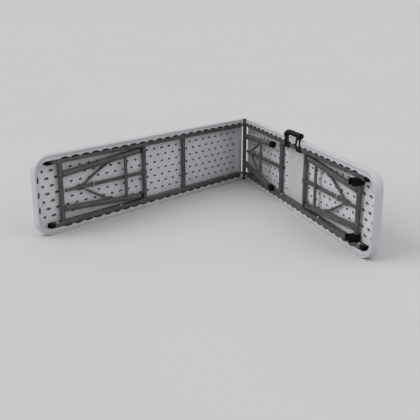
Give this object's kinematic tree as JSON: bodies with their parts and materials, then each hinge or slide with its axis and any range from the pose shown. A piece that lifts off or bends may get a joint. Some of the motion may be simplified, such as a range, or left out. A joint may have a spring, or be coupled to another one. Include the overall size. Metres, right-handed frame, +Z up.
{
  "type": "folding bench table",
  "caption": "Long narrow fold-in-half table with moulded tray tops, steel rails, hinged leg sets with folding braces and a carry handle, stood on edge half open.",
  "frame": {"origin": "bottom centre of the bounding box, on the floor that the long edges stand on", "axes": "+Z up along the hinge axle, +X along the widest spread of the open V, the V opens towards -Y"},
  "size_m": [1.2464, 1.0578, 0.3405],
  "materials": {
    "shell": "light grey moulded plastic with a fine grain",
    "steel": "hammered dark grey enamel",
    "black": "black plastic",
    "zinc": "bright zinc plate",
    "label": "blank paper label"
  },
  "bodies": {
    "left_half": {"left_tabletop": "shell", "left_middle_crossbar": "steel", "left_anchor_crossbar": "steel", "left_rail_upper": "steel", "left_rail_plug_upper": "black", "left_hinge_knuckle_upper": "steel", "left_rail_screw_upper": "zinc", "left_rail_lower": "steel", "left_rail_plug_lower": "black", "left_hinge_knuckle_lower": "steel", "left_rail_screw_lower": "zinc"},
    "left_leg": {"left_leg_pivot_tube": "steel", "left_leg_tube_upper": "steel", "left_leg_foot_cap_upper": "black", "left_leg_tube_lower": "steel", "left_leg_foot_cap_lower": "black", "left_leg_crossbar": "steel"},
    "left_fork": {"left_fork_strap_upper": "steel", "left_fork_strap_lower": "steel"},
    "left_brace": {"left_brace_tube": "steel"},
    "left_lock_ring": {"left_lock_ring": "zinc"},
    "right_half": {"right_tabletop": "shell", "right_middle_crossbar": "steel", "right_anchor_crossbar": "steel", "right_rail_upper": "steel", "right_rail_plug_upper": "black", "right_hinge_knuckle_upper": "steel", "right_rail_screw_upper": "zinc", "right_rail_lower": "steel", "right_rail_plug_lower": "black", "right_hinge_knuckle_lower": "steel", "right_rail_screw_lower": "zinc", "blank_label": "label"},
    "carry_handle": {"handle_arm_inner": "black", "handle_arm_outer": "black", "handle_grip": "black"},
    "right_leg": {"right_leg_pivot_tube": "steel", "right_leg_tube_upper": "steel", "right_leg_foot_cap_upper": "black", "right_leg_tube_lower": "steel", "right_leg_foot_cap_lower": "black", "right_leg_crossbar": "steel", "closure_clip_upper": "black", "closure_clip_lower": "black"},
    "right_fork": {"right_fork_strap_upper": "steel", "right_fork_strap_lower": "steel"},
    "right_brace": {"right_brace_tube": "steel"},
    "right_lock_ring": {"right_lock_ring": "zinc"},
    "middle_leg": {"middle_leg_pivot_tube": "steel", "middle_leg_tube_upper": "steel", "middle_leg_foot_cap_upper": "black", "middle_leg_tube_lower": "steel", "middle_leg_foot_cap_lower": "black", "middle_leg_crossbar": "steel", "hinge_axle_cap_upper": "black", "hinge_axle_cap_lower": "black"},
    "middle_fork": {"middle_fork_strap_upper": "steel", "middle_fork_strap_lower": "steel"},
    "middle_brace": {"middle_brace_tube": "steel"},
    "middle_lock_ring": {"middle_lock_ring": "zinc"}
  },
  "joints": [
    {"name": "table_fold", "type": "hinge", "parent": "left_half", "child": "right_half", "pos_m": [0, 0.5155, 0.1525], "axis": [0, 0, 1], "range_deg": [-59.3, 120.7]},
    {"name": "left_leg_fold", "type": "hinge", "parent": "left_half", "child": "left_leg", "pos_m": [-0.54842, -0.41964, 0.1525], "axis": [0, 0, -1], "range_deg": [0, 90]},
    {"name": "left_fork_turn", "type": "hinge", "parent": "left_leg", "child": "left_fork", "pos_m": [-0.43317, -0.20908, 0.1525], "axis": [0, 0, -1], "range_deg": [0, 60.1]},
    {"name": "left_brace_turn", "type": "hinge", "parent": "left_half", "child": "left_brace", "pos_m": [-0.33892, -0.04756, 0.1525], "axis": [0, 0, 1], "range_deg": [0, 30.9]},
    {"name": "left_ring_slide", "type": "slide", "parent": "left_brace", "child": "left_lock_ring", "axis": [-0.504, -0.8637, 0], "range_m": [-0.06, 0.012]},
    {"name": "right_leg_fold", "type": "hinge", "parent": "right_half", "child": "right_leg", "pos_m": [0.54842, -0.41964, 0.1525], "axis": [0, 0, 1], "range_deg": [0, 90]},
    {"name": "right_fork_turn", "type": "hinge", "parent": "right_leg", "child": "right_fork", "pos_m": [0.43317, -0.20908, 0.1525], "axis": [0, 0, 1], "range_deg": [0, 60.1]},
    {"name": "right_brace_turn", "type": "hinge", "parent": "right_half", "child": "right_brace", "pos_m": [0.33892, -0.04756, 0.1525], "axis": [0, 0, -1], "range_deg": [0, 30.9]},
    {"name": "right_ring_slide", "type": "slide", "parent": "right_brace", "child": "right_lock_ring", "axis": [0.504, -0.8637, 0], "range_m": [-0.06, 0.012]},
    {"name": "middle_leg_fold", "type": "hinge", "parent": "right_half", "child": "middle_leg", "pos_m": [0, 0.5155, 0.1525], "axis": [0, 0, -1], "range_deg": [-2, 57]},
    {"name": "middle_fork_turn", "type": "hinge", "parent": "middle_leg", "child": "middle_fork", "pos_m": [0.10657, 0.32071, 0.1525], "axis": [0, 0, -1], "range_deg": [-1.2, 19.9]},
    {"name": "middle_brace_turn", "type": "hinge", "parent": "right_half", "child": "middle_brace", "pos_m": [0.22069, 0.16015, 0.1525], "axis": [0, 0, 1], "range_deg": [-0.8, 9.1]},
    {"name": "middle_ring_slide", "type": "slide", "parent": "middle_brace", "child": "middle_lock_ring", "axis": [-0.5368, 0.8437, 0], "range_m": [-0.03, 0.003]},
    {"name": "handle_slide", "type": "slide", "parent": "right_half", "child": "carry_handle", "axis": [0, 0, 1], "range_m": [-0.002, 0]}
  ],
  "couplings": [
    {"joint": "left_fork_turn", "follows": "left_leg_fold", "ratio": 0.66237},
    {"joint": "left_brace_turn", "follows": "left_leg_fold", "ratio": 0.33763},
    {"joint": "right_fork_turn", "follows": "right_leg_fold", "ratio": 0.66237},
    {"joint": "right_brace_turn", "follows": "right_leg_fold", "ratio": 0.33763},
    {"joint": "middle_fork_turn", "follows": "middle_leg_fold", "ratio": 0.33992},
    {"joint": "middle_brace_turn", "follows": "middle_leg_fold", "ratio": 0.15144}
  ]
}
